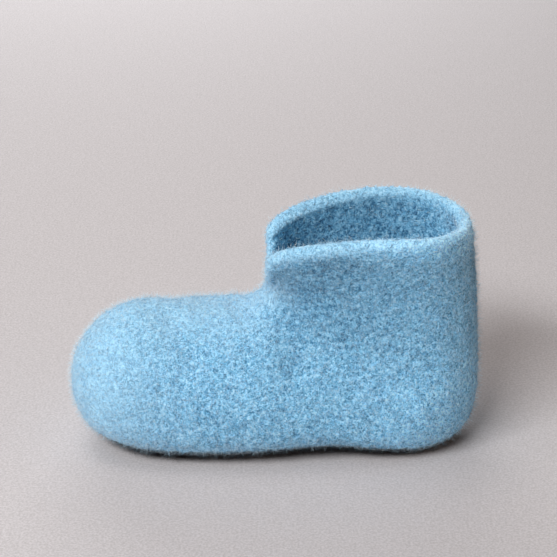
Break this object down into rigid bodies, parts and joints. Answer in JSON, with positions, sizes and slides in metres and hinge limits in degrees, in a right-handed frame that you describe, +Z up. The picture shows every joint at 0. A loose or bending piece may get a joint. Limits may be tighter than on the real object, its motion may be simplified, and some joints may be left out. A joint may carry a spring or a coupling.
{
  "type": "knit slipper",
  "caption": "Ankle-high house slipper of thick felted wool, knitted as one hollow body, open at the collar and at a notch in front, with a loose felt insole.",
  "frame": {"origin": "on the floor, under the middle of the slipper's length and width", "axes": "+X from the toe to the heel, +Z up, and the plane Y = 0 parts the slipper into two like halves"},
  "size_m": [0.25, 0.1, 0.1495],
  "materials": {
    "felted_wool": "light blue felted wool knit, matt and fuzzy",
    "insole_felt": "plain blue wool felt, matt"
  },
  "bodies": {
    "root": {"knit_body": "felted_wool", "insole": "insole_felt"}
  },
  "joints": []
}
